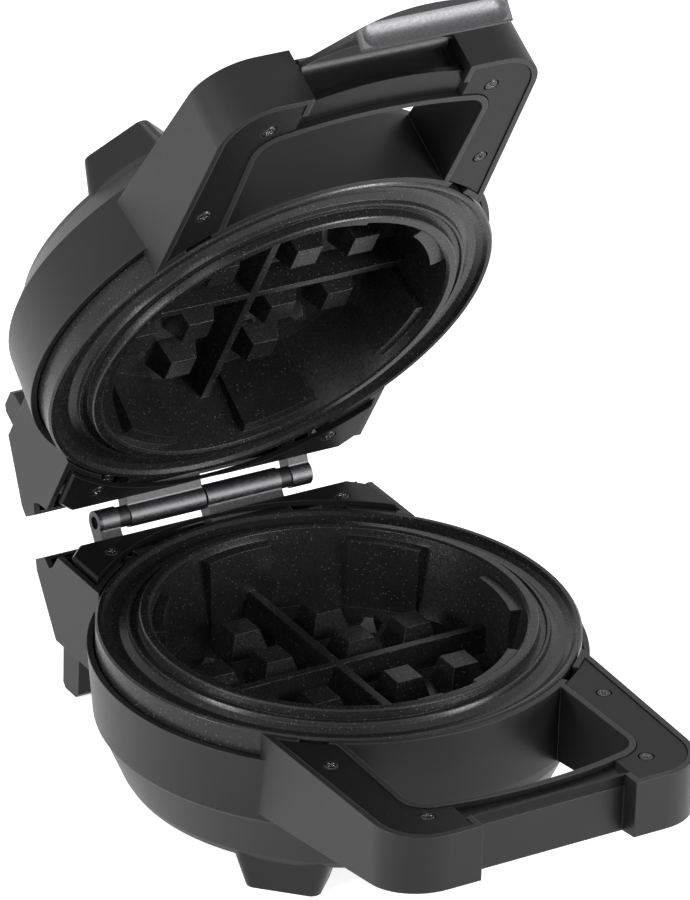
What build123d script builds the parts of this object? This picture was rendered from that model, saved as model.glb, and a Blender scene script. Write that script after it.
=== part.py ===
from build123d import *
import math
import os

# Stuffed waffle maker, two hinged housings with deep cast plates, in millimetres.
# Every piece is first built as a lower piece: z = 0 is the plate's rim plane, the bowl axis is
# x = y = 0, the handle points to -Y. A lid piece is the same shape turned over and opened.

# Overall layout
rim_radius = 92.0
rim_height = 75.0
hinge_back = 106.0
hinge_rise = 3.5
open_angle = 59.0

# Housings
wall = 2.4
lip_radius = 95.2
lip_drop = 10.0
band_height = 27.0
band_taper = 2.6
crease_step = 1.4
bottom_radius = 82.0
bottom_round = 4.0
base_depth = 62.0
lid_depth = 52.0
collar_top = -0.6
apron_top = -2.2

# Handle
handle_root_half = 70.0
handle_front_half = 66.0
handle_reach = 157.0
handle_corner = 20.0
handle_root_depth = 34.0
handle_front_depth = 22.7
handle_root_y = 63.0
grip_front_y = 133.0
grip_front_bow = 6.2
grip_front_half = 47.5
grip_root_half = 46.0
grip_corner = 9.0
recess_half = 32.5
base_recess = 8.0
lid_recess = 9.5
cover_thickness = 2.2
cover_drop = 0.4
cover_gap = 0.3
strip_drop = 2.0
strip_half = 33.0
strip_ramp = 2.0
strip_reach = 38.0
strip_lip = 1.2
strip_front_y = 156.2
strip_side_y = 151.7

# Hinge block
block_half = 70.0
block_top = -0.6
block_bottom = 37.0
block_step_y = 97.0
block_rear_y = 112.0
channel_half = 50.5
hinge_cover_half = 66.5
hinge_cover_height = 2.2
hinge_cover_chamfer = 7.0

# Feet
foot_height = 13.0
front_foot_angle = 225.0
front_foot_outer = 78.0
front_foot_width = 29.0
front_foot_depth = 20.0
rear_foot_x = 44.0
rear_foot_width = 16.0
rear_foot_front = 109.5
rear_foot_rear = 122.0
pad_height = 1.6

# Cast plates
skirt_bottom = 13.0
skirt_wall = 2.6
plate_wall = 3.5
collar_outer = 75.5
collar_inner = 72.0
collar_rise = 3.0
cavity_floor = 29.0
floor_radius = 66.0
tooth_count = 7
tooth_span = 25.0
tooth_foot_radius = 64.6
tooth_top_radius = 65.9
tooth_top = 0.8
lower_tooth_turn = -110.2
upper_tooth_turn = 110.1
rib_top = 18.5
rib_half_top = 1.6
rib_half_foot = 3.4
post_top = 19.0
post_half_top = 5.4
post_half_foot = 8.7
post_near = 18.0
post_far = 43.0
nub_circle = 50.0
nub_top = 24.0
nub_half_top = 1.6
nub_half_foot = 4.5
boss_circle = 58.0
boss_radius = 4.5
boss_foot = 42.0

# Hinge barrel
barrel_radius = 4.75
pin_radius = 2.5
pin_clearance = 0.06
knuckle_gap = 0.4
middle_end = 33.5
spacer_end = 38.5
knuckle_end = 47.5
pin_left = 41.0
pin_right = 45.5
arm_top = 3.6
arm_bottom = 9.4

# Screws
screw_head = 2.8
screw_shank = 1.5
pilot_radius = 1.5
screw_length = 9.0
handle_rear_screw = (58.5, -94.0)
handle_front_screw = (46.5, -141.5)
hinge_screw = (51.4, 85.0)
post_radius = 3.6
ear_rear = (43.0, 90.0)
ear_front_angle = 54.0
ear_front_circle = 97.5
ear_half = 4.5
ear_top = 6.4
ear_notch = 1.0
reflector_screw_length = 7.0

# Latch
latch_pivot_y = -153.0
latch_pivot_depth = 17.0
latch_pin_radius = 1.5
latch_barrel = 3.2
latch_half = 30.6
latch_front_y = -158.5
latch_bow_radius = 119.0
latch_thickness = 2.0
latch_angle = 66.0
latch_catch = 2.4
latch_catch_gap = 1.7
latch_ledge = 3.2
latch_dish = 1.5
latch_dish_half = 4.3

# Heating and control pieces inside
gland_depth = 24.0
gland_radius = 4.4
gland_bore = 3.2
gland_flange = 6.2
thermostat_radius = 8.0
fuse_radius = 2.6
fuse_length = 15.0
element_circle = 46.0
element_radius = 3.3
element_gap = 0.1
reflector_thickness = 0.8
lens_radius = 3.5
seat_gap = 0.15

# The rest pose's box is centred on the origin along Y
opening = math.radians(open_angle)
lid_foot_y = rear_foot_rear - hinge_back
lid_foot_z = lid_depth + foot_height + hinge_rise
lid_rear = hinge_back + lid_foot_y * math.cos(opening) + lid_foot_z * math.sin(opening)
bowl_y = (handle_reach - lid_rear) / 2

os.makedirs("parts", exist_ok=True)
nodes = {}


def on_base(shape):
    return Pos(0, bowl_y, rim_height) * shape


def on_lid(shape):
    # Turned over about the hinge plane, then opened about the hinge axis
    turned = Pos(0, 0, 2 * hinge_rise) * Rot(0, 180, 0) * shape
    to_axis = Pos(0, -hinge_back, -hinge_rise)
    opened = Pos(0, hinge_back, hinge_rise) * Rot(-open_angle, 0, 0) * to_axis * turned
    return on_base(opened)


def solid_of(points, depth, plane):
    # A straight prism on a polygon, depth long, centred on the plane
    with BuildPart() as prism:
        with BuildSketch(plane):
            with BuildLine():
                Polyline(*points, close=True)
            make_face()
        extrude(amount=depth / 2, both=True)
    return prism.part


def turned(points):
    # A solid of revolution about the bowl axis from (radius, z) points
    with BuildPart() as body:
        with BuildSketch(Plane.XZ):
            with BuildLine():
                Polyline(*points, close=True)
            make_face()
        revolve(axis=Axis.Z)
    return body.part


def upright(radius, low, high, x=0.0, y=0.0):
    return Pos(x, y, low) * Cylinder(
        radius, high - low, align=(Align.CENTER, Align.CENTER, Align.MIN)
    )


def block_between(x0, x1, y0, y1, z0, z1):
    size = (x1 - x0, y1 - y0, z1 - z0)
    return Pos((x0 + x1) / 2, (y0 + y1) / 2, (z0 + z1) / 2) * Box(*size)


def group(place, shapes):
    # Separate solids of one node, each put in place by itself
    return Compound(children=[place(shape) for shape in shapes])


def both_sides(place):
    return [(-place[0], place[1]), (place[0], place[1])]


# Handle outline in plan, drawn inside its outer wall by an inset
def handle_plan(inset, low, high):
    front = -handle_reach + inset
    root_x = handle_root_half - inset
    front_x = handle_front_half - inset
    with BuildPart() as body:
        with BuildSketch(Plane.XY.offset(low)):
            with BuildLine():
                Polyline(
                    (-root_x, -handle_root_y + 20),
                    (-front_x, front),
                    (front_x, front),
                    (root_x, -handle_root_y + 20),
                    close=True,
                )
            make_face()
            fronts = [v for v in vertices() if v.Y < -handle_reach / 2]
            fillet(fronts, handle_corner - inset)
        extrude(amount=high - low)
    return body.part


# Finger opening in plan, grown by its wall where a wall stands round it
def grip_plan(grow, low, high):
    front = -grip_front_y - grow
    with BuildPart() as body:
        with BuildSketch(Plane.XY.offset(low)):
            with BuildLine():
                sides = Polyline(
                    (grip_front_half + grow, front),
                    (grip_root_half + grow, -handle_root_y + 20),
                    (-grip_root_half - grow, -handle_root_y + 20),
                    (-grip_front_half - grow, front),
                )
                ThreePointArc(sides @ 1, (0, front - grip_front_bow), sides @ 0)
            make_face()
            fronts = [v for v in vertices() if v.Y < -handle_reach / 2]
            fillet(fronts, grip_corner + grow)
        extrude(amount=high - low)
    return body.part


# The handle's side view: flat on top, its underside rising to the front
def handle_side(raise_by, top):
    slope = (handle_root_depth - handle_front_depth) / (handle_reach - handle_root_y)
    root = -handle_root_depth - slope * 30 + raise_by
    return solid_of(
        [
            (-handle_root_y + 30, top),
            (-handle_reach - 5, top),
            (-handle_reach - 5, -handle_front_depth + slope * 5 + raise_by),
            (-handle_root_y + 30, root),
        ],
        300,
        Plane.YZ,
    )


# The latch recess, open to the front, top and bottom
def recess_box(depth, grow):
    front = -handle_reach - 10
    back = -handle_reach + depth + grow
    half = recess_half + grow
    return block_between(-half, half, front, back, -60, 20)


# Side view of the hinge block, inset from its walls
def block_side(inset, half_width, top):
    return solid_of(
        [
            (30, top),
            (block_step_y - 3 - inset, top),
            (block_step_y + 1 - inset, -6.5),
            (block_step_y + 4 - inset, -8.5),
            (block_step_y + 8 - inset, -5.5),
            (block_rear_y - inset, -9.5),
            (block_rear_y - 1 - inset, -14.0),
            (95.0 - inset, -block_bottom + inset),
            (30, -block_bottom + inset),
        ],
        2 * half_width,
        Plane.YZ,
    )


def bowl_outer(depth):
    band = -lip_drop - band_height
    crease = band - crease_step
    edge = -depth + bottom_round
    low = lip_radius - band_taper
    return [
        (0, -depth),
        (bottom_radius - bottom_round, -depth),
        (bottom_radius - bottom_round * 0.3, -depth + bottom_round * 0.3),
        (bottom_radius + 0.6, edge),
        (low - 1.4, crease),
        (low, band),
        (lip_radius, -lip_drop),
        (0, -lip_drop),
    ]


def bowl_inner(depth):
    band = -lip_drop - band_height
    crease = band - crease_step
    low = lip_radius - band_taper - wall
    return [
        (0, -depth + wall),
        (bottom_radius - bottom_round - wall * 0.6, -depth + wall),
        (bottom_radius - wall, -depth + bottom_round + wall * 0.3),
        (low - 1.4, crease),
        (low, band),
        (lip_radius - wall, -lip_drop),
        (lip_radius - wall, 30),
        (0, 30),
    ]


# Feet: two radial ones under the bowl, two legs behind the hinge block
def feet(depth):
    low = -depth - foot_height
    shapes = []
    for angle in (front_foot_angle, 540 - front_foot_angle):
        middle = front_foot_outer - front_foot_depth / 2
        with BuildPart() as foot:
            with BuildSketch(Plane.XY.offset(low)):
                RectangleRounded(front_foot_depth, front_foot_width, 4)
            with BuildSketch(Plane.XY.offset(-depth + 4)):
                RectangleRounded(front_foot_depth + 6, front_foot_width + 10, 5)
            loft()
        shapes.append(Rot(0, 0, angle) * Pos(middle, 0, 0) * foot.part)
    for side in (-1, 1):
        leg = solid_of(
            [
                (88.0, -block_bottom + wall / 2),
                (103.0, -20.0),
                (109.0, -19.0),
                (rear_foot_rear, -34.0),
                (rear_foot_rear, low + 2),
                (rear_foot_rear - 2, low),
                (rear_foot_front + 2, low),
                (rear_foot_front, low + 2),
                (rear_foot_front - 0.5, -block_bottom - 17),
                (88.0, -block_bottom - 1),
            ],
            rear_foot_width,
            Plane.YZ,
        )
        shapes.append(Pos(side * rear_foot_x, 0, 0) * leg)
    return shapes


# Where the plate's four ears are screwed down, under the covers
def ear_places():
    angle = math.radians(ear_front_angle)
    front = (ear_front_circle * math.cos(angle), -ear_front_circle * math.sin(angle))
    return both_sides(front) + both_sides(ear_rear)


# The ears' shape in plan: radial tongues in front, straight ones at the rear
def ears(grow, low, high):
    shapes = []
    for side in (-1, 1):
        turn = -90 + side * (90 - ear_front_angle)
        reach = ear_front_circle + ear_half + grow
        tongue = block_between(rim_radius - skirt_wall / 2, reach, -ear_half - grow, ear_half + grow, low, high)
        shapes.append(Rot(0, 0, turn) * tongue)
        x = side * ear_rear[0]
        rear = block_between(
            x - ear_half - grow, x + ear_half + grow, 60, ear_rear[1] + ear_half + grow, low, high
        )
        shapes.append(rear - upright(rim_radius - skirt_wall / 2, low - 1, high + 1))
    return shapes


def screw_bosses():
    # Posts under the covers and under the plate's ears, each with a pilot hole
    places = both_sides(handle_rear_screw) + both_sides(handle_front_screw)
    top = -cover_drop - cover_thickness
    posts = [upright(post_radius, -handle_root_depth, top, x, y) for x, y in places]
    posts += [upright(post_radius, -block_bottom, block_top, x, y) for x, y in both_sides(hinge_screw)]
    posts += [upright(post_radius, -block_bottom, -arm_bottom - seat_gap, x, y) for x, y in ear_places()]
    return posts


def pilot_holes():
    places = both_sides(handle_rear_screw) + both_sides(handle_front_screw)
    low = -screw_length - cover_thickness - 2
    holes = [upright(pilot_radius, low, 5, x, y) for x, y in places]
    holes += [upright(pilot_radius, low, 5, x, y) for x, y in both_sides(hinge_screw)]
    ear_low = -ear_top - screw_length - 2
    holes += [upright(pilot_radius, ear_low, 5, x, y) for x, y in ear_places()]
    return holes


def boss_places():
    return [
        (boss_circle * math.cos(math.radians(a)), boss_circle * math.sin(math.radians(a)))
        for a in (45, 135, 225, 315)
    ]


def housing(depth, recess, has_apron, has_vents):
    outer = turned(bowl_outer(depth))
    inner = turned(bowl_inner(depth))
    # Handle: a tray with an outer wall and a wall round the finger opening
    tray = handle_plan(0, -60, 20) & handle_side(0, 0)
    tray -= recess_box(recess, 0)
    pocket = handle_plan(wall, -60, 20) & handle_side(wall, 20)
    pocket -= recess_box(recess, wall)
    pocket -= grip_plan(wall, -60, 20)
    pocket -= upright(lip_radius, -60, 20)
    # Hinge block: a box open on top, with a channel for the barrel at the rear
    block = block_side(0, block_half, block_top)
    block_room = block_side(wall, block_half - wall, 20)
    block_room -= upright(lip_radius, -60, 20)
    channel = block_between(-channel_half, channel_half, 40, 130, -arm_bottom - 0.6, 20)
    shell = outer + tray + block
    for foot in feet(depth):
        shell += foot
    shell -= pocket
    shell -= block_room
    shell -= channel
    shell -= inner
    # Wall that closes the tray and the block towards the plate
    ring = upright(lip_radius, -lip_drop - 1, collar_top) - upright(lip_radius - wall, -30, 20)
    keep = handle_plan(wall / 2, -30, 5) - grip_plan(0, -31, 6)
    keep += block_between(-block_half + 1, block_half - 1, 0, 96, -30, 5)
    keep -= block_between(-channel_half, channel_half, 0, 130, -31, 6)
    shell += ring & keep
    for ear in ears(ear_notch, -arm_bottom - 0.6, 20):
        shell -= ear & upright(lip_radius + 0.2, -30, 30)
    if has_apron:
        apron = upright(lip_radius, -lip_drop - 1, apron_top) - upright(lip_radius - wall, -30, 20)
        shell += apron & grip_plan(wall, -30, 5)
    grip = grip_plan(0, -70, 20) - upright(lip_radius, -80, 30)
    shell -= grip
    # The recess's rear wall stops under the cover's lowered strip
    back = -handle_reach + recess
    under_strip = -cover_drop - strip_drop - cover_thickness - cover_gap
    shell -= block_between(-recess_half - wall, recess_half + wall, back, back + wall, under_strip, 20)
    around = handle_side(0.5, 20) + block_side(0.5, block_half, 20)
    around -= upright(lip_radius - wall, -80, 20)
    for post in screw_bosses():
        shell += post & around
    for hole in pilot_holes():
        shell -= hole
    if has_vents:
        for row in range(-2, 3):
            slot = Pos(0, row * 9.0, -depth) * Box(34, 3, 10)
            shell -= slot
    return shell


# Handle cover: a U-shaped plate in the tray, its front strip lowered between two ramps
def handle_cover(recess, has_lip):
    low = -cover_drop - cover_thickness
    back = -handle_reach + recess
    plate = handle_plan(wall + cover_gap, low, -cover_drop)
    plate -= recess_box(recess, wall + cover_gap)
    plate -= block_between(-strip_reach + 0.6, strip_reach - 0.6, back + cover_gap, -grip_front_y + 3, -20, 10)
    top, floor = -cover_drop, -cover_drop - strip_drop
    inner, outer = strip_half, strip_half + strip_ramp
    right = [(inner, floor), (outer, top), (strip_reach, top)]
    right += [(strip_reach, low), (outer + 1, low), (inner + 1, low - strip_drop)]
    section = right + [(-x, z) for x, z in reversed(right)]
    strip = Pos(0, back - 10, 0) * solid_of(section, 80, Plane.XZ)
    if has_lip:
        strip &= block_between(-60, 60, back, -80, -20, 10)
        strip += block_between(-inner, inner, back, back + strip_lip, low - strip_drop, top)
    else:
        with BuildPart() as plan:
            with BuildSketch(Plane.XY.offset(-20)):
                with BuildLine():
                    sides = Polyline(
                        (recess_half - cover_gap, -strip_side_y),
                        (recess_half - cover_gap, back + cover_gap),
                        (60, back + cover_gap), (60, -80), (-60, -80), (-60, back + cover_gap),
                        (-recess_half + cover_gap, back + cover_gap),
                        (-recess_half + cover_gap, -strip_side_y),
                    )
                    ThreePointArc(sides @ 1, (0, -strip_front_y), sides @ 0)
                make_face()
            extrude(amount=40)
        strip &= plan.part
    plate += strip
    plate -= grip_plan(wall + cover_gap, -20, 10)
    plate -= upright(lip_radius + cover_gap, -20, 10)
    plate -= block_between(-100, 100, -handle_root_y + 3, 0, -20, 10)
    for x, y in both_sides(handle_rear_screw) + both_sides(handle_front_screw):
        plate -= upright(screw_shank + 0.2, -20, 10, x, y)
        plate -= upright(screw_head + 0.3, -cover_drop - 1.1, 10, x, y)
    return plate


# Hinge cover: a raised plate on the block, bevelled round its outer edge
def hinge_cover():
    edge = hinge_cover_half
    rear = block_step_y - 1.0
    cut = hinge_cover_chamfer
    top = block_top + hinge_cover_height
    with BuildPart() as plate:
        with BuildSketch(Plane.XY.offset(block_top)):
            with BuildLine():
                Polyline(
                    (-edge, 50), (-edge, rear - cut), (-edge + cut, rear),
                    (edge - cut, rear), (edge, rear - cut), (edge, 50), close=True,
                )
            make_face()
        extrude(amount=hinge_cover_height)
        rim = [e for e in edges() if abs(e.center().Z - top) < 0.01 and e.center().Y > 51]
        chamfer(rim, 0.8)
    part = plate.part - upright(lip_radius + cover_gap, -20, 10)
    for x, y in both_sides(hinge_screw):
        part -= upright(screw_shank + 0.2, -20, 10, x, y)
        part -= upright(screw_head + 0.3, top - 1.1, 10, x, y)
    return part


# One tooth of the cavity wall: a sector that stands steeper than the wall, so it ends in a flat ledge
def tooth():
    half = math.tan(math.radians(tooth_span / 2))
    low = -cavity_floor - 1
    with BuildPart() as sector:
        with BuildSketch(Plane.XY.offset(low)):
            with BuildLine():
                Polyline((50, -50 * half), (80, -80 * half), (80, 80 * half), (50, 50 * half), close=True)
            make_face()
        extrude(amount=-tooth_top - low)
    height = -tooth_top - low + 0.2
    middle = low + height / 2
    return sector.part - Pos(0, 0, middle) * Cone(tooth_foot_radius, tooth_top_radius, height)


def drafted_post(half_foot, half_top, top, x, y):
    with BuildPart() as post:
        with BuildSketch(Plane.XY.offset(-cavity_floor - 1)):
            with Locations((x, y)):
                Rectangle(2 * half_foot, 2 * half_foot)
        with BuildSketch(Plane.XY.offset(-top)):
            with Locations((x, y)):
                Rectangle(2 * half_top, 2 * half_top)
        loft()
    return post.part


def drafted_rib(turn):
    length = floor_radius + 2
    rib = solid_of(
        [
            (-rib_half_foot, -cavity_floor - 1),
            (-rib_half_top, -rib_top),
            (rib_half_top, -rib_top),
            (rib_half_foot, -cavity_floor - 1),
        ],
        2 * length,
        Plane.YZ,
    )
    return Rot(0, 0, turn) * rib


def plate_section():
    under = plate_wall
    return [
        (0, -cavity_floor),
        (floor_radius, -cavity_floor),
        (collar_inner - 0.8, collar_rise - 0.8),
        (collar_inner + 0.3, collar_rise),
        (collar_outer - 0.5, collar_rise),
        (collar_outer, collar_rise - 0.5),
        (collar_outer + 0.6, -0.8),
        (collar_outer + 2.6, -0.8),
        (collar_outer + 3.2, 0.1),
        (collar_outer + 4.2, 0.1),
        (collar_outer + 4.8, -1.6),
        (collar_outer + 7.5, -2.9),
        (collar_outer + 10.5, -2.9),
        (rim_radius - 3.6, -1.6),
        (rim_radius - 2.2, -0.3),
        (rim_radius - 0.8, 0),
        (rim_radius, -0.8),
        (rim_radius, -skirt_bottom),
        (rim_radius - skirt_wall, -skirt_bottom),
        (rim_radius - skirt_wall, -2.9 - under),
        (collar_outer + 1.0, -2.9 - under),
        (floor_radius + under + 0.6, -cavity_floor + 2),
        (floor_radius + 0.5, -cavity_floor - under),
        (0, -cavity_floor - under),
    ]


# Cast plate with its knuckles; the two castings differ only in where their teeth stand
def cast_plate(tooth_turn):
    plate = turned(plate_section())
    room = turned([(0, -cavity_floor - 2), (floor_radius + 2, -cavity_floor - 2),
                   (collar_outer - 1.5, collar_rise - 1), (0, collar_rise - 1)])
    relief = drafted_rib(0) + drafted_rib(90)
    for sx in (-1, 1):
        for sy in (-1, 1):
            for x, y in ((post_near, post_near), (post_far, post_near), (post_near, post_far)):
                relief += drafted_post(post_half_foot, post_half_top, post_top, sx * x, sy * y)
    for k in range(4):
        nub = drafted_post(nub_half_foot, nub_half_top, nub_top, nub_circle, 0)
        relief += Rot(0, 0, 45 + 90 * k) * nub
    for k in range(tooth_count):
        relief += Rot(0, 0, tooth_turn + k * 360 / tooth_count) * tooth()
    plate += relief & room
    for x, y in boss_places():
        plate += upright(boss_radius, -boss_foot, -cavity_floor - 1, x, y)
        plate -= upright(pilot_radius, -boss_foot - 1, -boss_foot + reflector_screw_length, x, y)
    for ear in ears(0, -arm_bottom, -ear_top):
        plate += ear
    # Knuckles: a short one on the left end and a long one right of the middle
    axis_at = (hinge_back, hinge_rise)
    for x0, x1 in ((-knuckle_end, -spacer_end), (knuckle_gap, middle_end)):
        arm = solid_of(
            [
                (rim_radius - 20, -arm_bottom),
                (rim_radius - 20, -arm_top),
                (block_step_y + 0.6, -arm_top),
                (hinge_back - barrel_radius + 0.4, hinge_rise - 1.5),
                (hinge_back, hinge_rise + 1),
                (hinge_back + barrel_radius - 0.8, hinge_rise - 2.5),
                (hinge_back - 1.5, -arm_bottom + 2.4),
                (hinge_back - 6, -arm_bottom),
            ],
            x1 - x0,
            Plane.YZ,
        )
        arm = Pos((x0 + x1) / 2, 0, 0) * arm
        barrel = Pos((x0 + x1) / 2, *axis_at) * Rot(0, 90, 0) * Cylinder(barrel_radius, x1 - x0)
        arm -= upright(rim_radius - skirt_wall / 2, -30, 10)
        plate += arm + barrel
    bore = Pos(0, *axis_at) * Rot(0, 90, 0) * Cylinder(pin_radius + pin_clearance, 120)
    plate -= bore
    for x, y in ear_places():
        plate -= upright(screw_shank + 0.2, -20, 10, x, y)
        plate -= upright(screw_head + 0.4, -ear_top, 10, x, y)
    return plate


# Tubular element: an open ring with two ends turned down
def heating_element():
    z = -cavity_floor - plate_wall - element_gap - element_radius
    gap = 24.0
    with BuildPart() as tube:
        with BuildLine():
            ring = CenterArc((0, 0, z), element_circle, 90 + gap / 2, 360 - gap)
        with BuildSketch(Plane(origin=ring @ 0, z_dir=ring % 0)):
            Circle(element_radius)
        sweep()
    part = tube.part
    for side in (-1, 1):
        a = math.radians(90 + side * gap / 2)
        x, y = element_circle * math.cos(a), element_circle * math.sin(a)
        part += upright(element_radius - 0.3, z - 7.5, z, x, y)
        part += upright(1.2, z - 11, z, x, y)
    return part


# Reflector: a pressed tray under the element, clamped between plate and housing bosses
def heat_reflector():
    top = -boss_foot - seat_gap
    t = reflector_thickness
    pan = upright(boss_circle + 9, top - t, top)
    pan += turned([(boss_circle + 8, top - t), (boss_circle + 9, top - t),
                   (boss_circle + 9, top + 5), (boss_circle + 8, top + 5)])
    pan -= upright(3, top - 5, top + 5)
    pan -= block_between(-16, 16, element_circle - 9, element_circle + 9, top - 5, top + 2)
    for x, y in boss_places():
        pan -= upright(screw_shank + 0.3, top - 5, top + 3, x, y)
    return pan


# Pan-head screw with a cross recess, head on top, z = 0 under its head
def screw(length):
    head = upright(screw_head, 0, 1.3)
    head = chamfer(head.edges().group_by(Axis.Z)[-1], 0.5)
    shank = upright(screw_shank - 0.05, -length, 0.2)
    cross = Pos(0, 0, 1.3) * (Box(3.0, 0.7, 1.2) + Box(0.7, 3.0, 1.2))
    return head + shank - cross


def cover_screws():
    low = -cover_drop - 1.1
    places = both_sides(handle_rear_screw) + both_sides(handle_front_screw)
    return [Pos(x, y, low) * Rot(0, 0, 20 + 3 * x) * screw(screw_length) for x, y in places]


def hinge_cover_screws():
    low = block_top + hinge_cover_height - 1.1
    places = both_sides(hinge_screw)
    return [Pos(x, y, low) * Rot(0, 0, 30 + x) * screw(screw_length) for x, y in places]


def plate_screws():
    return [Pos(x, y, -ear_top) * Rot(0, 0, 2 * x) * screw(screw_length) for x, y in ear_places()]


def reflector_screws():
    seat = -boss_foot - reflector_thickness - 2 * seat_gap
    return [Pos(x, y, seat) * Rot(180, 0, 0) * screw(reflector_screw_length) for x, y in boss_places()]


# Disc thermostat held against the plate by the reflector
def thermostat():
    top = -cavity_floor - plate_wall - seat_gap
    low = -boss_foot
    part = upright(thermostat_radius, top - 4, top)
    part += upright(thermostat_radius - 1.5, low, top - 3)
    for side in (-1, 1):
        part += block_between(side * 6 - 0.4, side * 6 + 0.4, -3, 3, low, top - 3)
        part += block_between(min(side * 6, side * 11), max(side * 6, side * 11), -3, 3, low + 1.6, low + 2.4)
    return part


# Thermal fuse lying in its sleeve on the reflector
def thermal_fuse():
    z = -boss_foot + fuse_radius
    part = Pos(0, 14, z) * Rot(0, 90, 0) * Cylinder(fuse_radius, fuse_length)
    part += Pos(0, 14, z) * Rot(0, 90, 0) * Cylinder(0.6, fuse_length + 16)
    return part


# Bushing that holds the supply lead in the block's rear wall
def cord_gland():
    y_wall = block_rear_y - 9
    part = Pos(0, y_wall, -gland_depth) * Rot(90, 0, 0) * Cylinder(gland_radius, 14)
    part += Pos(0, y_wall + 8, -gland_depth) * Rot(90, 0, 0) * Cylinder(gland_flange, 2)
    tail = Pos(0, y_wall + 15, -gland_depth) * Rot(-90, 0, 0) * Cone(gland_flange - 1, gland_bore + 1, 14)
    part += tail
    part -= Pos(0, y_wall, -gland_depth) * Rot(90, 0, 0) * Cylinder(gland_bore, 60)
    return part


def terminal_block():
    low = -base_depth + wall + seat_gap
    part = block_between(15, 39, 46, 54, low, low + 9)
    for x in (19, 27, 35):
        part -= Pos(x, 50, low + 8) * Cylinder(1.8, 4)
    return part


def x_cylinder(radius, x0, x1, y, z):
    return Pos((x0 + x1) / 2, y, z) * Rot(0, 90, 0) * Cylinder(radius, x1 - x0)


# Latch in its fastened place: a bowed blade hanging past both handles, with a dished catch ledge
def latch():
    y0 = latch_pivot_y
    z0 = -latch_pivot_depth
    catch_z = 2 * hinge_rise + handle_front_depth + latch_catch_gap
    catch_y = -handle_reach + base_recess + latch_catch
    end_z = catch_z + latch_ledge
    centre_y = latch_front_y + latch_bow_radius
    root = z0 - latch_barrel
    width = block_between(-latch_half, latch_half, -200, -100, root, end_z)
    outer = upright(latch_bow_radius, root, end_z, 0, centre_y)
    core = upright(latch_bow_radius - latch_thickness, root - 1, end_z + 1, 0, centre_y)
    part = (outer - core) & width
    ledge = outer & block_between(-latch_half, latch_half, -200, catch_y, catch_z, end_z)
    web = outer & block_between(-latch_half, latch_half, -200, y0, root, z0 + latch_barrel)
    part += ledge
    part += web
    part += x_cylinder(latch_barrel, -latch_half, latch_half, y0, z0)
    part -= x_cylinder(latch_pin_radius + pin_clearance, -60, 60, y0, z0)
    # The dish along the ledge's outer face, with rounded ends
    dish = (latch_dish_half**2 + latch_dish**2) / (2 * latch_dish)
    dish_y = catch_y - latch_dish_half - 0.6
    dish_z = end_z + dish - latch_dish
    dish_end = latch_half - latch_dish_half - 1
    part -= x_cylinder(dish, -dish_end, dish_end, dish_y, dish_z)
    for side in (-1, 1):
        part -= Pos(side * dish_end, dish_y, dish_z) * Sphere(dish)
    return part


def latch_out(shape):
    # Swung outwards from its fastened place to the open one
    to_pin = Pos(0, -latch_pivot_y, latch_pivot_depth)
    back = Pos(0, latch_pivot_y, -latch_pivot_depth)
    return back * Rot(latch_angle, 0, 0) * to_pin * shape


# Housings
base = housing(base_depth, base_recess, True, True)
base -= Pos(0, block_rear_y - 5, -gland_depth) * Rot(90, 0, 0) * Cylinder(gland_radius + 0.1, 45)
pad_bottom = -base_depth - foot_height
pads = []
for angle in (front_foot_angle, 540 - front_foot_angle):
    middle = front_foot_outer - front_foot_depth / 2
    pads.append(Rot(0, 0, angle) * Pos(middle, 0, pad_bottom) * Cylinder(7, pad_height))
for side in (-1, 1):
    middle = (rear_foot_front + rear_foot_rear) / 2
    pads.append(Pos(side * rear_foot_x, middle, pad_bottom) * Cylinder(4, pad_height))
for pad in pads:
    base -= pad
nodes["base_housing"] = on_base(base)
nodes["foot_pads"] = group(on_base, pads)

lid = housing(lid_depth, lid_recess, False, False)
lid -= x_cylinder(latch_pin_radius + 0.02, -recess_half - 7, recess_half + 7, latch_pivot_y, -latch_pivot_depth)
lens_places = [(-9, -60), (9, -60)]
for x, y in lens_places:
    lid -= upright(lens_radius + 0.1, -lid_depth - 5, -lid_depth + 10, x, y)
nodes["lid_housing"] = on_lid(lid)

nodes["base_handle_cover"] = on_base(handle_cover(base_recess, True))
nodes["lid_handle_cover"] = on_lid(handle_cover(lid_recess, False))
nodes["base_hinge_cover"] = on_base(hinge_cover())
nodes["lid_hinge_cover"] = on_lid(hinge_cover())
nodes["lower_plate"] = on_base(cast_plate(lower_tooth_turn))
nodes["upper_plate"] = on_lid(cast_plate(upper_tooth_turn))
nodes["lower_heating_element"] = on_base(heating_element())
nodes["upper_heating_element"] = on_lid(heating_element())
nodes["lower_heat_reflector"] = on_base(heat_reflector())
nodes["upper_heat_reflector"] = on_lid(heat_reflector())
nodes["base_handle_screws"] = group(on_base, cover_screws())
nodes["lid_handle_screws"] = group(on_lid, cover_screws())
nodes["base_hinge_cover_screws"] = group(on_base, hinge_cover_screws())
nodes["lid_hinge_cover_screws"] = group(on_lid, hinge_cover_screws())
nodes["lower_plate_screws"] = group(on_base, plate_screws())
nodes["upper_plate_screws"] = group(on_lid, plate_screws())
nodes["lower_reflector_screws"] = group(on_base, reflector_screws())
nodes["upper_reflector_screws"] = group(on_lid, reflector_screws())
nodes["thermostat"] = on_base(thermostat())
nodes["thermal_fuse"] = on_lid(thermal_fuse())
nodes["cord_gland"] = on_base(cord_gland())
nodes["terminal_block"] = on_base(terminal_block())

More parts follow.
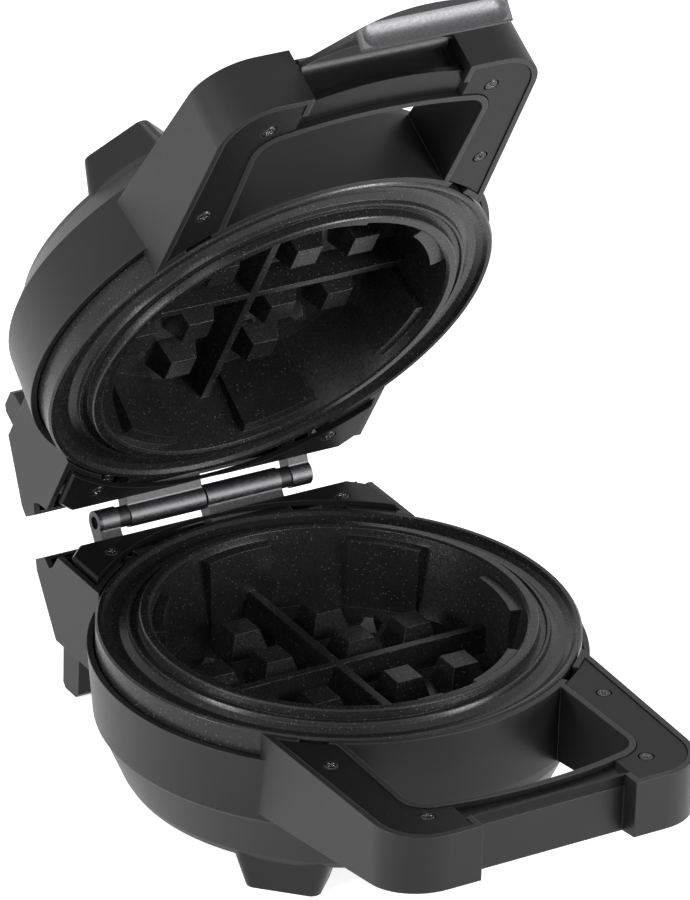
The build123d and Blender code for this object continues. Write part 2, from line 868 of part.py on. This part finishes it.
# Hinge pin and the spacer bushes between the knuckles
nodes["hinge_pin"] = on_base(x_cylinder(pin_radius, -pin_left, pin_right, hinge_back, hinge_rise))
bushes = []
for side in (-1, 1):
    inner_end = side * (middle_end + knuckle_gap / 2)
    outer_end = side * (spacer_end - knuckle_gap / 2)
    ends = sorted((inner_end, outer_end))
    bush = x_cylinder(barrel_radius - 0.6, ends[0], ends[1], hinge_back, hinge_rise)
    bush -= x_cylinder(pin_radius + 0.02, -80, 80, hinge_back, hinge_rise)
    bushes.append(bush)
nodes["hinge_spacers"] = group(on_base, bushes)

# Latch on its own pin
nodes["latch"] = on_lid(latch_out(latch()))
nodes["latch_pin"] = on_lid(
    x_cylinder(latch_pin_radius, -recess_half - 6, recess_half + 6, latch_pivot_y, -latch_pivot_depth)
)

# Lamp lenses in the lid's top
lenses = []
for x, y in lens_places:
    lens = upright(lens_radius, -lid_depth - 0.8, -lid_depth + 5, x, y)
    lens += upright(lens_radius + 1.5, -lid_depth + wall + 0.1, -lid_depth + 5, x, y)
    lenses.append(lens)
nodes["power_lens"] = on_lid(lenses[0])
nodes["ready_lens"] = on_lid(lenses[1])

for name, shape in nodes.items():
    shape.label = name
    export_step(shape, f"parts/{name}.step")
    print(name, round(shape.volume), len(shape.solids()))
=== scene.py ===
import math
from types import SimpleNamespace

import bpy
from mathutils import Matrix, Vector


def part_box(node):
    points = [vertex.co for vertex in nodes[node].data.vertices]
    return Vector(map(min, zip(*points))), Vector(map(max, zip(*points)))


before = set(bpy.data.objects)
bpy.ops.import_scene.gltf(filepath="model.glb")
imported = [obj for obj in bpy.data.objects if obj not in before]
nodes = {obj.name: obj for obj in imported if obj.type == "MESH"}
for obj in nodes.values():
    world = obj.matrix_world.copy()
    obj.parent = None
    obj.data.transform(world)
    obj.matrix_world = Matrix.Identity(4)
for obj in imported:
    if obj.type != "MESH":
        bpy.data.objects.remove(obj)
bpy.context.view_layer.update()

# Camera.
# A long lens from the front left and above, as a product photographer sets it, so that
# the open lid and the handle stay nearly free of perspective. It is rolled a little.
camera_at = Vector((-1.0900, -1.8030, 1.2064))
camera_aim = Vector((0.0154, 0.0169, 0.1320))
camera_roll = math.radians(1.78)
focal_pixels = 6318.0
frame_height_pixels = 900.0
film_height = 36.0
sight_limit = 20.0


def turned_towards(place, aim):
    # The placing of a camera or lamp that stands at place and looks at aim
    facing = (Vector(aim) - Vector(place)).to_track_quat("-Z", "Y").to_matrix().to_4x4()
    return Matrix.Translation(place) @ facing


camera_data = bpy.data.cameras.new("camera")
camera = bpy.data.objects.new("camera", camera_data)
bpy.context.scene.collection.objects.link(camera)
camera_data.sensor_fit = "VERTICAL"
camera_data.sensor_height = film_height
camera_data.lens = focal_pixels * film_height / frame_height_pixels
camera_data.clip_end = sight_limit
camera.matrix_world = turned_towards(camera_at, camera_aim) @ Matrix.Rotation(camera_roll, 4, "Z")
bpy.context.scene.camera = camera
bpy.context.scene.view_settings.view_transform = "Standard"

# Floor.
# A pale matt table under the feet, which holds the shadow. It glows a little for the
# camera and in reflections, so that it runs into the white surround.
floor_half = 3.0
floor_colour = (0.80, 0.80, 0.80, 1)
floor_roughness = 0.9
floor_glow = 0.75
white = (1, 1, 1, 1)


def add_node(tree, kind, inputs=None, **properties):
    # A shader node of this kind; each input gets a value, or a link from another socket
    made = tree.nodes.new("ShaderNode" + kind)
    for name, value in properties.items():
        setattr(made, name, value)
    for socket, value in (inputs or {}).items():
        if isinstance(value, bpy.types.NodeSocket):
            tree.links.new(value, made.inputs[socket])
        else:
            made.inputs[socket].default_value = value
    return made


def for_background_rays(tree, hidden, shown):
    # The shown shader for the rays that see the background, which are camera, glossy and
    # transmission rays, and the hidden one for the light that falls on the object
    path = add_node(tree, "LightPath").outputs
    seen = add_node(
        tree, "Math", {0: path["Is Camera Ray"], 1: path["Is Glossy Ray"]}, operation="MAXIMUM"
    ).outputs[0]
    seen = add_node(
        tree, "Math", {0: seen, 1: path["Is Transmission Ray"]}, operation="MAXIMUM"
    ).outputs[0]
    return add_node(tree, "MixShader", {0: seen, 1: hidden, 2: shown}).outputs[0]


floor_mesh = bpy.data.meshes.new("floor")
floor_corners = [
    (x * floor_half, y * floor_half, 0) for x, y in ((-1, -1), (1, -1), (1, 1), (-1, 1))
]
floor_mesh.from_pydata(floor_corners, [], [(0, 1, 2, 3)])
floor = bpy.data.objects.new("floor", floor_mesh)
bpy.context.scene.collection.objects.link(floor)

floor_paint = bpy.data.materials.new("floor_paint")
floor_paint.use_nodes = True
floor_tree = floor_paint.node_tree
floor_shader = floor_tree.nodes["Principled BSDF"]
floor_shader.inputs["Base Color"].default_value = floor_colour
floor_shader.inputs["Roughness"].default_value = floor_roughness
floor_lit = floor_shader.outputs[0]
floor_light = add_node(floor_tree, "Emission", {"Color": white, "Strength": floor_glow})
floor_sum = add_node(floor_tree, "AddShader", {0: floor_lit, 1: floor_light.outputs[0]})
floor_shown = for_background_rays(floor_tree, floor_lit, floor_sum.outputs[0])
floor_tree.links.new(floor_shown, floor_tree.nodes["Material Output"].inputs[0])
floor_mesh.materials.append(floor_paint)

# Surround.
# A white room to the eye and in reflections, and a dim even fill for the surfaces that
# it lights.
fill_strength = 0.24
room_strength = 1.0

surround = bpy.data.worlds.new("surround")
bpy.context.scene.world = surround
surround.use_nodes = True
surround_tree = surround.node_tree
fill = surround_tree.nodes["Background"]
fill.inputs["Color"].default_value = white
fill.inputs["Strength"].default_value = fill_strength
room = add_node(surround_tree, "Background", {"Color": white, "Strength": room_strength})
surround_shown = for_background_rays(surround_tree, fill.outputs[0], room.outputs[0])
surround_tree.links.new(surround_shown, surround_tree.nodes["World Output"].inputs[0])

# Lamps.
# Five small softboxes: two low ones for the upright faces, two high ones on the left and
# in front, and one above and behind for the rims. Each has its place, aim, size and watts.
softboxes = {
    "side_softbox": ((-1.35, 0.0, 0.32), (0, 0, 0.12), 0.4, 0.5, 15),
    "left_softbox": ((-1.2, -0.6, 1.1), (0, 0, 0.14), 0.45, 0.45, 8),
    "front_softbox": ((0.45, -1.25, 0.75), (0, 0.05, 0.20), 0.5, 0.4, 12),
    "right_softbox": ((0.85, -1.15, 0.20), (0, 0, 0.10), 0.5, 0.3, 15),
    "top_softbox": ((0.1, 0.8, 1.5), (0, 0, 0.12), 0.7, 0.4, 6),
}
for name, (place, aim, width, height, watts) in softboxes.items():
    lamp_data = bpy.data.lights.new(name, "AREA")
    lamp_data.shape = "RECTANGLE"
    lamp_data.size = width
    lamp_data.size_y = height
    lamp_data.energy = watts
    lamp = bpy.data.objects.new(name, lamp_data)
    bpy.context.scene.collection.objects.link(lamp)
    lamp.matrix_world = turned_towards(place, aim)

# Housings.
# The two shells, each moulded in one piece of black plastic with its handle, hinge block
# and feet. The mould leaves a fine matt grain; the edges are soft, and a painted highlight
# makes them a shade lighter.
grain_detail = 2.0
edge_samples = 4
bump_height = 0.0001
# Where the rounded normal leans this far from the face, the colour turns to the painted edge
# highlight.
highlight_starts, highlight_full = 0.985, 0.80  # cosines of how far the rounded normal leans
cloud_scale, cloud_detail = 13.0, 5.0
cloud_low, cloud_high = 0.36, 0.64
rough_from, rough_to = 0.3, 0.7  # the part of the grain's range that changes roughness
mix_below, mix_above, mix_result = 6, 7, 2  # the colour sockets of a Mix node

relief = bpy.data.node_groups.new("surface_relief", "ShaderNodeTree")
for label, kind, side in [
    ("Grain Scale", "NodeSocketFloat", "INPUT"),
    ("Grain Depth", "NodeSocketFloat", "INPUT"),
    ("Edge Radius", "NodeSocketFloat", "INPUT"),
    ("Normal", "NodeSocketVector", "OUTPUT"),
    ("Grain", "NodeSocketFloat", "OUTPUT"),
    ("Edge", "NodeSocketFloat", "OUTPUT"),
    ("Cloud", "NodeSocketFloat", "OUTPUT"),
]:
    relief.interface.new_socket(label, in_out=side, socket_type=kind)


def spread_value(tree, mask, low, high, start=0.0, end=1.0):
    # A value that runs from low to high as the mask runs from start to end
    return add_node(
        tree, "MapRange",
        {"Value": mask, "From Min": start, "From Max": end, "To Min": low, "To Max": high},
    ).outputs["Result"]


relief_given = relief.nodes.new("NodeGroupInput").outputs
relief_result = relief.nodes.new("NodeGroupOutput")
relief_place = add_node(relief, "TexCoord").outputs["Object"]
relief_grain = add_node(
    relief, "TexNoise",
    {"Vector": relief_place, "Scale": relief_given["Grain Scale"], "Detail": grain_detail},
).outputs["Fac"]
relief_round = add_node(
    relief, "Bevel", {"Radius": relief_given["Edge Radius"]}, samples=edge_samples
).outputs["Normal"]
relief_bump = add_node(
    relief, "Bump",
    {"Strength": relief_given["Grain Depth"], "Distance": bump_height,
     "Height": relief_grain, "Normal": relief_round},
).outputs["Normal"]
relief_face = add_node(relief, "NewGeometry").outputs["Normal"]
relief_lean = add_node(
    relief, "VectorMath", {0: relief_round, 1: relief_face}, operation="DOT_PRODUCT"
).outputs["Value"]
relief_cloud = add_node(
    relief, "TexNoise", {"Vector": relief_place, "Scale": cloud_scale, "Detail": cloud_detail}
).outputs["Fac"]
# Edge is the mask of the painted edge highlight, where the rounded normal leans from the face.
for label, source in {
    "Normal": relief_bump,
    "Grain": relief_grain,
    "Edge": spread_value(relief, relief_lean, 0.0, 1.0, highlight_starts, highlight_full),
    "Cloud": spread_value(relief, relief_cloud, 0.0, 1.0, cloud_low, cloud_high),
}.items():
    relief.links.new(source, relief_result.inputs[label])


def mix_colour(tree, mask, below, above):
    # below where the mask is 0 and above where it is 1; each is a colour or a socket
    blend = add_node(tree, "Mix", {"Factor": mask}, data_type="RGBA")
    for value, socket in ((below, blend.inputs[mix_below]), (above, blend.inputs[mix_above])):
        if isinstance(value, tuple):
            socket.default_value = (*value, 1)
        else:
            tree.links.new(value, socket)
    return blend.outputs[mix_result]


def grained_finish(name, dark, light, edge_highlight, rough, grain, edge_radius, **constants):
    # A finish whose colour clouds from dark to light and turns to a painted highlight colour at
    # the edges.
    # rough is its lowest and highest roughness, and grain is the scale and the depth.
    paint = bpy.data.materials.new(name)
    paint.use_nodes = True
    tree = paint.node_tree
    shader = tree.nodes["Principled BSDF"]
    for label, value in constants.items():
        shader.inputs[label.replace("_", " ")].default_value = value
    grain_scale, grain_depth = grain
    surface = add_node(
        tree, "Group",
        {"Grain Scale": grain_scale, "Grain Depth": grain_depth, "Edge Radius": edge_radius},
        node_tree=relief,
    ).outputs
    tint = mix_colour(tree, surface["Cloud"], dark, light)
    # The edges turn to the painted highlight colour.
    tint = mix_colour(tree, surface["Edge"], tint, edge_highlight)
    roughness = spread_value(tree, surface["Grain"], *rough, rough_from, rough_to)
    tree.links.new(tint, shader.inputs["Base Color"])
    tree.links.new(roughness, shader.inputs["Roughness"])
    tree.links.new(surface["Normal"], shader.inputs["Normal"])
    return SimpleNamespace(
        paint=paint, tree=tree, shader=shader,
        tint=tint, roughness=roughness, grain=surface["Grain"],
    )


def dress(finish, *names):
    # The finish goes on each of these fixed nodes
    for name in names:
        materials = nodes[name].data.materials
        materials.clear()
        materials.append(finish.paint)


housing_black = grained_finish(
    "housing_black",
    dark=(0.0065, 0.0065, 0.0069), light=(0.0100, 0.0100, 0.0104), edge_highlight=(0.030, 0.030, 0.031),
    rough=(0.34, 0.46), grain=(2600.0, 0.30), edge_radius=0.0006, Specular_IOR_Level=0.25,
)
dress(housing_black, "base_housing", "lid_housing")

# Handle covers and hinge covers.
# Thin plates of the same plastic, screwed into the handles and on the hinge blocks. Their
# skin is smoother and darker, with a few very light scratches from hands and the table.
scratch_turn = 0.5
scratch_stretch = (40.0, 1400.0, 1400.0)
scratch_starts, scratch_full = 0.72, 0.80
scratch_colour = (0.022, 0.022, 0.023)

cover_black = grained_finish(
    "cover_black",
    dark=(0.0045, 0.0045, 0.005), light=(0.0070, 0.0070, 0.0074), edge_highlight=(0.026, 0.026, 0.027),
    rough=(0.26, 0.38), grain=(3400.0, 0.16), edge_radius=0.0005, Specular_IOR_Level=0.12,
)
cover_tree = cover_black.tree
cover_place = add_node(cover_tree, "TexCoord").outputs["Object"]
scratch_place = add_node(
    cover_tree, "Mapping",
    {"Vector": cover_place, "Rotation": (0.0, 0.0, scratch_turn), "Scale": scratch_stretch},
).outputs["Vector"]
scratch_noise = add_node(
    cover_tree, "TexNoise", {"Vector": scratch_place, "Scale": 1.0}
).outputs["Fac"]
scratches = spread_value(cover_tree, scratch_noise, 0.0, 1.0, scratch_starts, scratch_full)
cover_tree.links.new(
    mix_colour(cover_tree, scratches, cover_black.tint, scratch_colour),
    cover_black.shader.inputs["Base Color"],
)
dress(cover_black, "base_handle_cover", "lid_handle_cover", "base_hinge_cover", "lid_hinge_cover")

# Cast plates.
# Two aluminium castings with their knuckles, sprayed with a black non-stick coat that has
# an orange-peel surface and fine pale flecks. Round the hinge axis the coat is painted
# lighter and metallic, a painted highlight.
axis_low, axis_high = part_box("hinge_pin")
axis_centre = (axis_low + axis_high) / 2
fleck_scale = 1300.0
fleck_edge, fleck_core = 0.34, 0.20  # distances from a cell's middle, in cells
fleck_rarity = 0.90
fleck_colour = (0.10, 0.10, 0.10)
knuckle_radius = 0.0054
knuckle_reach = 0.0485
knuckle_sheen_dark = (0.030, 0.030, 0.032)
knuckle_sheen_light = (0.13, 0.13, 0.135)
knuckle_extra_roughness = 0.16
mask_blur = 0.0003


def offset_from(tree, centre):
    # Where a point of the surface lies, seen from centre
    place = add_node(tree, "TexCoord").outputs["Object"]
    return add_node(
        tree, "VectorMath", {0: place, 1: centre}, operation="SUBTRACT"
    ).outputs["Vector"]


def within(tree, distance, reach):
    # 1 up to the reach, falling to 0 there
    return spread_value(tree, distance, 1.0, 0.0, reach - mask_blur, reach)


def both(tree, first, second):
    # 1 where both masks are 1
    return add_node(tree, "Math", {0: first, 1: second}, operation="MULTIPLY").outputs[0]


def size_of(tree, value):
    # A number without its sign
    return add_node(tree, "Math", {0: value}, operation="ABSOLUTE").outputs[0]


non_stick = grained_finish(
    "non_stick_coat",
    dark=(0.0060, 0.0060, 0.0065), light=(0.0100, 0.0100, 0.0108), edge_highlight=(0.022, 0.022, 0.023),
    rough=(0.22, 0.38), grain=(1150.0, 0.24), edge_radius=0.0004, Specular_IOR_Level=0.28,
)
plate_tree = non_stick.tree
plate_place = add_node(plate_tree, "TexCoord").outputs["Object"]
fleck_cells = add_node(
    plate_tree, "TexVoronoi", {"Vector": plate_place, "Scale": fleck_scale}
).outputs
fleck_spots = spread_value(plate_tree, fleck_cells["Distance"], 0.0, 1.0, fleck_edge, fleck_core)
fleck_draw = add_node(plate_tree, "SeparateColor", {"Color": fleck_cells["Color"]}).outputs[0]
fleck_few = add_node(
    plate_tree, "Math", {0: fleck_draw, 1: fleck_rarity}, operation="GREATER_THAN"
).outputs[0]
flecks = both(plate_tree, fleck_spots, fleck_few)

axis_offset = offset_from(plate_tree, axis_centre)
axis_split = add_node(plate_tree, "SeparateXYZ", {"Vector": axis_offset}).outputs
axis_across = add_node(
    plate_tree, "CombineXYZ", {"Y": axis_split["Y"], "Z": axis_split["Z"]}
).outputs[0]
axis_distance = add_node(
    plate_tree, "VectorMath", {0: axis_across}, operation="LENGTH"
).outputs["Value"]
knuckles = both(
    plate_tree,
    within(plate_tree, axis_distance, knuckle_radius),
    within(plate_tree, size_of(plate_tree, axis_split["X"]), knuckle_reach),
)

plate_tint = mix_colour(plate_tree, flecks, non_stick.tint, fleck_colour)
# Round the hinge axis the coat is painted as lighter satin metal, a painted highlight.
knuckle_sheen_tint = mix_colour(plate_tree, non_stick.grain, knuckle_sheen_dark, knuckle_sheen_light)
plate_roughness = add_node(
    plate_tree, "Math", {0: knuckles, 1: knuckle_extra_roughness, 2: non_stick.roughness},
    operation="MULTIPLY_ADD",
).outputs[0]
for label, source in {
    "Base Color": mix_colour(plate_tree, knuckles, plate_tint, knuckle_sheen_tint),
    "Metallic": knuckles,
    "Roughness": plate_roughness,
}.items():
    plate_tree.links.new(source, non_stick.shader.inputs[label])
dress(non_stick, "lower_plate", "upper_plate")

# Pins, spacers and lead bushing.
# Ground steel pins pushed through the knuckles and the latch. Black nylon bushes sit
# between the knuckles, and a nylon bushing snaps into the rear wall.
ground_steel = grained_finish(
    "ground_steel",
    dark=(0.30, 0.30, 0.30), light=(0.42, 0.42, 0.42), edge_highlight=(0.60, 0.60, 0.60),
    rough=(0.24, 0.36), grain=(2400.0, 0.2), edge_radius=0.0003, Metallic=1.0,
)
dress(ground_steel, "hinge_pin", "latch_pin")
nylon_black = grained_finish(
    "nylon_black",
    dark=(0.0045, 0.0045, 0.005), light=(0.008, 0.008, 0.008), edge_highlight=(0.02, 0.02, 0.02),
    rough=(0.38, 0.50), grain=(2200.0, 0.25), edge_radius=0.0004, Specular_IOR_Level=0.35,
)
dress(nylon_black, "hinge_spacers", "cord_gland")

# Latch.
# A black moulded blade that turns on its pin in the lid's handle. The dish along its
# catch ledge is painted as mottled satin silver, a painted reflection of the light it catches.
latch_low, latch_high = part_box("latch_pin")
latch_axis = (latch_low + latch_high) / 2
ledge_out = (0.0, -0.8192, 0.5736)  # from the pin to the ledge, as the latch stands at rest
ledge_across = (0.0, -0.5736, -0.8192)
ledge_rise = 0.0492
dish_middle = 0.0015
dish_half = 0.0045
mottle_scale, mottle_detail = 1300.0, 4.0
mottle_low, mottle_high = 0.35, 0.65
reflection_dark = (0.085, 0.085, 0.088)
reflection_light = (0.120, 0.120, 0.123)


def along(tree, offset, direction):
    # How far the offset reaches in a direction
    return add_node(
        tree, "VectorMath", {0: offset, 1: direction}, operation="DOT_PRODUCT"
    ).outputs["Value"]


latch_black = grained_finish(
    "latch_black",
    dark=(0.010, 0.010, 0.0105), light=(0.016, 0.016, 0.0165), edge_highlight=(0.045, 0.045, 0.046),
    rough=(0.40, 0.50), grain=(1500.0, 0.22), edge_radius=0.0005, Specular_IOR_Level=0.35,
)
latch_tree = latch_black.tree
latch_offset = offset_from(latch_tree, latch_axis)
ledge_height = along(latch_tree, latch_offset, ledge_out)
dish_offset = add_node(
    latch_tree, "Math", {0: along(latch_tree, latch_offset, ledge_across), 1: dish_middle},
    operation="SUBTRACT",
).outputs[0]
# The mask of the painted reflection along the dish of the catch ledge.
dish_reflection = both(
    latch_tree,
    spread_value(latch_tree, ledge_height, 0.0, 1.0, ledge_rise, ledge_rise + mask_blur),
    within(latch_tree, size_of(latch_tree, dish_offset), dish_half),
)
latch_place = add_node(latch_tree, "TexCoord").outputs["Object"]
mottle_noise = add_node(
    latch_tree, "TexNoise", {"Vector": latch_place, "Scale": mottle_scale, "Detail": mottle_detail}
).outputs["Fac"]
mottle = spread_value(latch_tree, mottle_noise, 0.0, 1.0, mottle_low, mottle_high)
dish_reflection_tint = mix_colour(latch_tree, mottle, reflection_dark, reflection_light)
# The dish takes the painted reflection as mottled metallic silver.
for label, source in {
    "Base Color": mix_colour(latch_tree, dish_reflection, latch_black.tint, dish_reflection_tint),
    "Metallic": dish_reflection,
}.items():
    latch_tree.links.new(source, latch_black.shader.inputs[label])
dress(latch_black, "latch")

# Screws.
# Pan-head screws of blackened steel that hold the covers, plates and reflectors. A painted
# highlight turns them to bright steel round the heads and the cross recesses.
blackened_steel = grained_finish(
    "blackened_steel",
    dark=(0.010, 0.010, 0.010), light=(0.025, 0.025, 0.026), edge_highlight=(0.50, 0.50, 0.51),
    rough=(0.22, 0.40), grain=(1800.0, 0.3), edge_radius=0.00025, Metallic=0.85,
)
dress(blackened_steel, *[name for name in nodes if "screw" in name])

# Reflectors, thermostat, fuse, heating elements and terminal block.
# Pressed bare sheet, clouded by heat, and a bent steel tube browned by it, all fixed
# inside the shells. The terminal block is an off-white ceramic.
bare_sheet = grained_finish(
    "bare_sheet",
    dark=(0.46, 0.45, 0.43), light=(0.62, 0.61, 0.60), edge_highlight=(0.75, 0.75, 0.75),
    rough=(0.28, 0.44), grain=(1600.0, 0.3), edge_radius=0.0004, Metallic=1.0,
)
dress(bare_sheet, "lower_heat_reflector", "upper_heat_reflector", "thermostat", "thermal_fuse")
heated_tube = grained_finish(
    "heated_tube",
    dark=(0.16, 0.12, 0.09), light=(0.28, 0.24, 0.21), edge_highlight=(0.40, 0.38, 0.36),
    rough=(0.36, 0.52), grain=(1400.0, 0.35), edge_radius=0.0003, Metallic=1.0,
)
dress(heated_tube, "lower_heating_element", "upper_heating_element")
insulator_white = grained_finish(
    "insulator_white",
    dark=(0.50, 0.48, 0.43), light=(0.62, 0.60, 0.55), edge_highlight=(0.70, 0.68, 0.63),
    rough=(0.42, 0.58), grain=(1500.0, 0.3), edge_radius=0.0004,
)
dress(insulator_white, "terminal_block")

# Foot pads.
# Soft matt rubber discs pressed into pockets in the feet, with a painted highlight that makes
# them paler at the edges.
pad_rubber = grained_finish(
    "pad_rubber",
    dark=(0.014, 0.014, 0.014), light=(0.024, 0.024, 0.023), edge_highlight=(0.05, 0.05, 0.048),
    rough=(0.70, 0.88), grain=(1300.0, 0.6), edge_radius=0.0005, Specular_IOR_Level=0.25,
)
dress(pad_rubber, "foot_pads")

# Signal lenses.
# Two small tinted clear plastic lenses pressed into the lid's top, red for power and
# green for ready, each dimpled on its inner face.
dimple_scale = 900.0
dimple_middle, dimple_edge = 0.2, 0.6
for lens, finish_name, lens_dark, lens_light in [
    ("power_lens", "lens_red", (0.28, 0.008, 0.008), (0.46, 0.020, 0.015)),
    ("ready_lens", "lens_green", (0.008, 0.18, 0.030), (0.020, 0.32, 0.06)),
]:
    lens_finish = grained_finish(
        finish_name, dark=lens_dark, light=lens_light, edge_highlight=lens_light,
        rough=(0.08, 0.16), grain=(900.0, 0.35), edge_radius=0.0004,
        Coat_Weight=0.6, Coat_Roughness=0.08, Transmission_Weight=0.15,
    )
    lens_tree = lens_finish.tree
    lens_place = add_node(lens_tree, "TexCoord").outputs["Object"]
    lens_cells = add_node(
        lens_tree, "TexVoronoi", {"Vector": lens_place, "Scale": dimple_scale}
    ).outputs
    dimples = spread_value(lens_tree, lens_cells["Distance"], 0.0, 1.0, dimple_middle, dimple_edge)
    lens_tree.links.new(
        mix_colour(lens_tree, dimples, lens_light, lens_finish.tint),
        lens_finish.shader.inputs["Base Color"],
    )
    dress(lens_finish, lens)
